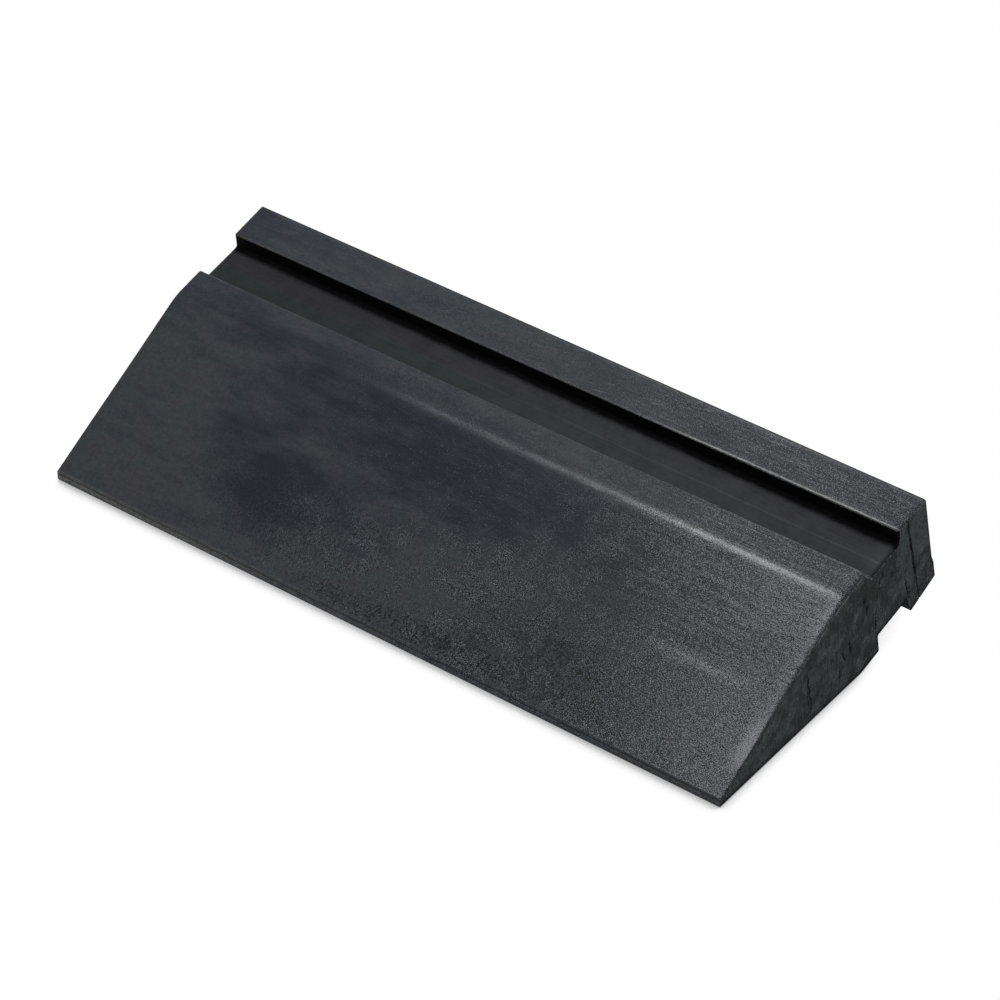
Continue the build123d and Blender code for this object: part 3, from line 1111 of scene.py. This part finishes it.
def sunken_black_rubber(colours):
    """The same rubber where nothing touches it: dull, with grey dust in faint streaks along the ramp,
    darkened by painted shade to black in the corner under the lip and on the lip's wall, and in part in
    the groove. A mould line parts it from cooler dust beside the crest."""
    material, tree = new_material("sunken_black_rubber")
    place = add(tree, "TexCoord", output="Object")
    lengthwise = add(tree, "Mapping", {"Vector": place, "Scale": (0.04, 1, 1)})
    grain, streak, smear = (
        add(tree, "TexNoise", {
            "Vector": vector, "Scale": 1 / (noise.size * MM), "Detail": noise.detail,
            "Roughness": noise.roughness,
        }, normalize=False)
        for vector, noise in ((place, SETTLED_GRAIN), (lengthwise, STREAK), (place, SETTLED_SMEAR))
    )
    shade, dust, run = (
        add(tree, "Attribute", output="Fac", attribute_name=name) for name in ("shade", "dust", "channel_run")
    )
    past_line = add(tree, "MapRange", {
        "Value": run, "From Min": MOULD_LINE - MOULD_LINE_BLUR, "From Max": MOULD_LINE + MOULD_LINE_BLUR,
    })
    grey = add(tree, "Mix", {0: past_line, 6: colours.channel_front, 7: colours.channel}, 2, data_type="RGBA")
    # Painted shade under the lip and in the groove, with the dust thinner in places.
    shade_and_bare = shade
    for pattern, weight in ((smear, 0.15), (grain, 0.08), (streak, 0.12)):
        shade_and_bare = add(tree, "Math", {0: pattern, 1: weight, 2: shade_and_bare}, operation="MULTIPLY_ADD")
    shade_and_bare = add(tree, "MapRange", {"Value": shade_and_bare, "From Min": -0.1, "From Max": 0.9})
    on_line = add(tree, "Math", {0: run, 1: MOULD_LINE, 2: MOULD_LINE_WIDTH}, operation="COMPARE")
    pale = add(tree, "Math", {0: on_line, 1: 0.8, 2: 1.0}, operation="MULTIPLY_ADD")
    pale = add(tree, "Math", {0: pale, 1: dust}, operation="MULTIPLY")
    tone = add(tree, "Mix", {0: pale, 6: grey, 7: colours.chalk}, 2, data_type="RGBA")
    tone = add(tree, "Mix", {0: shade_and_bare, 6: tone, 7: colours.deep}, 2, data_type="RGBA")
    height = add(tree, "Math", {0: grain, 1: GRAIN_HEIGHT}, operation="MULTIPLY")
    end_material(tree, tone, height, 0.7, RUBBER_IOR, gloss=0.04)
    return material


def knife_cut_black_rubber(colours):
    """Rubber cut through with a knife: dull and blotchy, with drag lines along the blade's way, torn pale
    flecks, open pores and cracks, and painted shade along its lower edge."""
    material, tree = new_material("knife_cut_black_rubber")
    section = bpy.context.scene.ramp_section
    place = add(tree, "TexCoord", output="Object")
    blade = add(tree, "Mapping", {
        "Vector": place, "Rotation": (-section.rear_tilt, 0, 0), "Scale": (1, 1, 0.12),
    })
    drag, blotch, fine = (
        add(tree, "TexNoise", {
            "Vector": vector, "Scale": 1 / (noise.size * MM), "Detail": noise.detail,
            "Roughness": noise.roughness,
        }, normalize=False)
        for vector, noise in ((blade, KNIFE_LINE), (place, BLOTCH), (place, TORN_GRAIN))
    )
    edge, light, low = (
        add(tree, "Attribute", output="Fac", attribute_name=name) for name in ("edge", "cut_light", "cut_low_shade")
    )

    # Each crack is a long thin ellipse, 1 along its middle and 0 at its rim, with ragged sides.
    ragged = add(tree, "TexNoise", {
        "Vector": place, "Scale": 1 / (RAGGED.size * MM), "Detail": RAGGED.detail,
    }, "Color", normalize=False)
    ragged = add(tree, "VectorMath", {0: ragged, 1: (CRACK_WANDER,) * 3, 2: place}, operation="MULTIPLY_ADD")
    crack = 0.0
    for u0, v0, u1, v1 in np.array(CRACKS) * MM:
        first, last = np.array(block(section, u0, v0)), np.array(block(section, u1, v1))
        middle, along = (first + last) / 2, last - first
        on_axis = add(tree, "Mapping", {
            "Vector": ragged, "Location": (0, *middle), "Rotation": (np.arctan2(-along[0], along[1]), 0, 0),
            "Scale": (ALL_ALONG, CRACK_WIDTH, np.hypot(*along) / 2),
        }, vector_type="TEXTURE")
        ellipse = add(tree, "TexGradient", {"Vector": on_axis}, "Fac", gradient_type="SPHERICAL")
        crack = add(tree, "Math", {0: crack, 1: ellipse}, operation="MAXIMUM")

    # Dense and open rubber, torn flecks beside the cracks and on the arris, and black in the open pores and
    # cracks and as painted shade along the lower edge.
    share = light
    for pattern, weight in ((drag, 0.8), (blotch, 1.0)):
        share = add(tree, "Math", {0: pattern, 1: weight, 2: share}, operation="MULTIPLY_ADD")
    share = add(tree, "MapRange", {"Value": share, "From Min": -0.55, "From Max": 0.55})
    tone = add(tree, "Mix", {0: share, 6: colours.cut_dark, 7: colours.cut_light}, 2, data_type="RGBA")
    torn = add(tree, "Math", {0: fine, 1: edge}, operation="ADD")
    for pattern, weight in ((blotch, 0.4), (crack, 0.4)):
        torn = add(tree, "Math", {0: pattern, 1: weight, 2: torn}, operation="MULTIPLY_ADD")
    torn = add(tree, "MapRange", {"Value": torn, "From Min": 0.45, "From Max": 1.2})
    tone = add(tree, "Mix", {0: torn, 6: tone, 7: colours.fleck}, 2, data_type="RGBA")
    pore = add(tree, "TexVoronoi", {"Vector": place, "Scale": 1 / PORE}, "Distance")
    black = add(tree, "MapRange", {"Value": pore, "From Min": 0.22, "From Max": 0.12})
    open_crack = add(tree, "MapRange", {"Value": crack, "From Min": 0.15, "From Max": 0.45})
    for other in (open_crack, low):
        black = add(tree, "Math", {0: black, 1: other}, operation="MAXIMUM")
    tone = add(tree, "Mix", {0: black, 6: tone, 7: colours.deep}, 2, data_type="RGBA")
    height = 0.0
    for pattern, depth in ((drag, 0.1), (blotch, 0.3), (fine, 0.06)):
        height = add(tree, "Math", {0: pattern, 1: depth * MM, 2: height}, operation="MULTIPLY_ADD")
    end_material(tree, tone, height, 0.75, RUBBER_IOR, gloss=0.07)
    return material


def dried_rubber_cement(colours):
    """Dried rubber cement, squeezed out along a seam: dead black and matt, in small lumps with dusty tops."""
    material, tree = new_material("dried_rubber_cement")
    place = add(tree, "TexCoord", output="Object")
    lump = add(tree, "TexNoise", {
        "Vector": place, "Scale": 1 / (LUMP.size * MM), "Detail": LUMP.detail,
    }, normalize=False)
    dusty = add(tree, "MapRange", {"Value": lump, "From Min": 0.0, "From Max": 0.6})
    tone = add(tree, "Mix", {0: dusty, 6: colours.cement, 7: colours.cement_dust}, 2, data_type="RGBA")
    height = add(tree, "Math", {0: lump, 1: LUMP_HEIGHT}, operation="MULTIPLY")
    end_material(tree, tone, height, 0.9, CEMENT_IOR, gloss=0.1)
    return material


def materials_of(makers, colours):
    """The materials that the makers build, each built once and shared from then on."""
    return [bpy.data.materials.get(maker.__name__) or maker(colours) for maker in makers]


# Operators

class RAMP_OT_body(bpy.types.Operator):
    """Build the moulded wedge with its two cut ends"""

    bl_idname = "ramp.body"
    bl_label = "Ramp Body"

    def execute(self, context):
        section, rounding = context.scene.ramp_section, context.scene.ramp_rounding
        prism = body_prism(section, rounding)
        surface = carried_surface(prism, rounding.left_share, body_relief, cut_relief(section))
        makers = (moulded_black_rubber, knife_cut_black_rubber, sunken_black_rubber)
        materials = materials_of(makers, context.scene.ramp_colours)
        piece = finished_piece("ramp_body_skin", surface, body_marks(surface, section), materials)
        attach(piece, "root")
        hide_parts("ramp_body")
        return {"FINISHED"}


class RAMP_OT_strip(bpy.types.Operator):
    """Build the strip that is bonded to the rear"""

    bl_idname = "ramp.strip"
    bl_label = "Rear Strip"

    def execute(self, context):
        section, rounding = context.scene.ramp_section, context.scene.ramp_rounding
        prism = strip_prism(section, rounding)
        surface = carried_surface(prism, rounding.left_share, cut_depth=cut_relief(section))
        marks = lip_marks(surface, section, surface.at["lip_rear"])
        makers = (moulded_black_rubber, knife_cut_black_rubber)
        materials = materials_of(makers, context.scene.ramp_colours)
        piece = finished_piece("rear_strip_skin", surface, marks, materials)
        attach(piece, "root")
        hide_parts("rear_strip")
        return {"FINISHED"}


class RAMP_OT_bond(bpy.types.Operator):
    """Build the film of cement in the seam"""

    bl_idname = "ramp.bond"
    bl_label = "Bond Film"

    def execute(self, context):
        section, rounding = context.scene.ramp_section, context.scene.ramp_rounding
        surface = carried_surface(film_prism(section, rounding), rounding.left_share)
        marks = lip_marks(surface, section, section.strip_lip_thickness)
        materials = materials_of((moulded_black_rubber, dried_rubber_cement), context.scene.ramp_colours)
        piece = finished_piece("bond_film_layer", surface, marks, materials)
        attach(piece, "root")
        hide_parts("bond_film")
        return {"FINISHED"}


# Stage

SENSOR_WIDTH = 36
FLOOR_REACH = 6.0
WHITE = (1, 1, 1, 1)
PAPER = (0.9, 0.9, 0.9, 1)
SKY_FROM, SKY_FULL = 0.2, 0.8
TO_LIGHT = {"X": -0.36, "Y": 0.68, "Z": 0.64}
SHADOW_SAMPLES = 8


def make_camera(stage):
    """A camera at its place, turned by azimuth, elevation and roll."""
    a, e = stage.azimuth, stage.elevation
    back = Vector((np.sin(a) * np.cos(e), -np.cos(a) * np.cos(e), np.sin(e)))
    right = Vector((np.cos(a), np.sin(a), 0))
    aim = Matrix((right, back.cross(right), back)).transposed().to_4x4()
    data = bpy.data.cameras.new("camera")
    data.sensor_width = SENSOR_WIDTH
    data.lens = stage.lens / MM
    camera = bpy.data.objects.new("camera", data)
    camera.matrix_world = Matrix.Translation(stage.camera_place) @ aim @ Matrix.Rotation(stage.roll, 4, "Z")
    bpy.context.scene.collection.objects.link(camera)
    bpy.context.scene.camera = camera


def make_lamp(stage):
    """A softbox overhead, which lights the ramp and shows in its gloss."""
    lamp = bpy.data.lights.new("softbox", "AREA")
    lamp.shape = "RECTANGLE"
    lamp.size, lamp.size_y = stage.lamp_size
    lamp.energy = stage.lamp_power
    softbox = bpy.data.objects.new("softbox", lamp)
    softbox.location = stage.lamp_place
    softbox.visible_camera = False
    bpy.context.scene.collection.objects.link(softbox)


def seen_directly(tree):
    """1 for rays that come straight from the camera or by way of a mirror or glass."""
    path = add(tree, "LightPath").node
    seen = path.outputs["Is Camera Ray"]
    for name in ("Is Glossy Ray", "Is Transmission Ray"):
        seen = add(tree, "Math", {0: seen, 1: path.outputs[name]}, operation="MAXIMUM")
    return seen


def make_surroundings(stage):
    """White wherever it is seen, and a soft light from overhead on what it lights."""
    world = bpy.data.worlds.new("white_surroundings")
    bpy.context.scene.world = world
    world.use_nodes = True
    tree = world.node_tree
    tree.nodes.clear()
    up = add(tree, "SeparateXYZ", {0: add(tree, "TexCoord", output="Generated")}, "Z")
    overhead = add(tree, "MapRange", {
        "Value": up, "From Min": SKY_FROM, "From Max": SKY_FULL, "To Max": stage.ambient,
    }, interpolation_type="SMOOTHSTEP")
    strength = add(tree, "Math", {0: overhead, 1: seen_directly(tree)}, operation="MAXIMUM")
    light = add(tree, "Background", {"Color": WHITE, "Strength": strength})
    add(tree, "OutputWorld", {"Surface": light})


def white_paper_floor(stage):
    """White paper. Where it is seen it is white but for the ramp's shadow: a narrow one at its foot,
    longest in front because the light comes from the rear, and a full one far under it."""
    material, tree = new_material("white_paper_floor")
    paper = add(tree, "BsdfDiffuse", {"Color": PAPER})
    contact = add(tree, "AmbientOcclusion", {
        "Distance": stage.contact_reach, "Normal": add(tree, "CombineXYZ", TO_LIGHT),
    }, "AO", samples=SHADOW_SAMPLES)
    contact = add(tree, "MapRange", {
        "Value": contact, "From Min": 0.36, "From Max": 0.66, "To Min": 0.38, "To Max": 1.0,
    })
    cover = add(tree, "AmbientOcclusion", {"Distance": stage.cover_reach}, "AO", samples=SHADOW_SAMPLES)
    cover = add(tree, "MapRange", {"Value": cover, "From Min": 0.05, "From Max": 0.35})
    white = add(tree, "Math", {0: contact, 1: cover}, operation="MULTIPLY")
    glow = add(tree, "Emission", {"Color": WHITE, "Strength": white})
    seen = add(tree, "MixShader", {0: seen_directly(tree), 1: paper, 2: glow})
    add(tree, "OutputMaterial", {"Surface": seen})
    return material


def make_floor(stage):
    """A wide flat floor."""
    mesh = bpy.data.meshes.new("floor")
    corners = [(x * FLOOR_REACH, y * FLOOR_REACH, 0) for x, y in ((-1, -1), (1, -1), (1, 1), (-1, 1))]
    mesh.from_pydata(corners, [], [(0, 1, 2, 3)])
    mesh.materials.append(white_paper_floor(stage))
    floor = bpy.data.objects.new("floor", mesh)
    bpy.context.scene.collection.objects.link(floor)


class RAMP_OT_stage(bpy.types.Operator):
    """Set up the camera, the softbox, the white surroundings and the floor"""

    bl_idname = "ramp.stage"
    bl_label = "Stage"

    def execute(self, context):
        stage = context.scene.ramp_stage
        context.scene.view_settings.view_transform = "Standard"
        make_camera(stage)
        make_lamp(stage)
        make_surroundings(stage)
        make_floor(stage)
        return {"FINISHED"}


# Panel

class RAMP_PT_panel(bpy.types.Panel):
    """Sizes, colours and pieces of the kerb ramp"""

    bl_idname = "RAMP_PT_panel"
    bl_label = "Kerb Ramp"
    bl_space_type = "VIEW_3D"
    bl_region_type = "UI"
    bl_category = "Kerb Ramp"

    def draw(self, context):
        layout = self.layout
        for operator in OPERATORS:
            layout.operator(operator.bl_idname)
        for key, group in GROUPS.items():
            settings = getattr(context.scene, key)
            box = layout.box()
            box.label(text=group.__doc__.split(".")[0])
            for name in group.__annotations__:
                box.prop(settings, name)


GROUPS = {
    "ramp_section": RampSection,
    "ramp_rounding": RampRounding,
    "ramp_colours": RubberColours,
    "ramp_stage": RampStage,
}
OPERATORS = (RAMP_OT_body, RAMP_OT_bond, RAMP_OT_strip, RAMP_OT_stage)


def register():
    for cls in (*GROUPS.values(), *OPERATORS, RAMP_PT_panel):
        bpy.utils.register_class(cls)
    for key, group in GROUPS.items():
        setattr(bpy.types.Scene, key, bpy.props.PointerProperty(type=group))


def unregister():
    for key in GROUPS:
        delattr(bpy.types.Scene, key)
    for cls in (RAMP_PT_panel, *OPERATORS, *GROUPS.values()):
        bpy.utils.unregister_class(cls)


def main():
    register()
    bpy.ops.ramp.body()
    bpy.ops.ramp.bond()
    bpy.ops.ramp.strip()
    bpy.ops.ramp.stage()


if __name__ == "__main__":
    main()
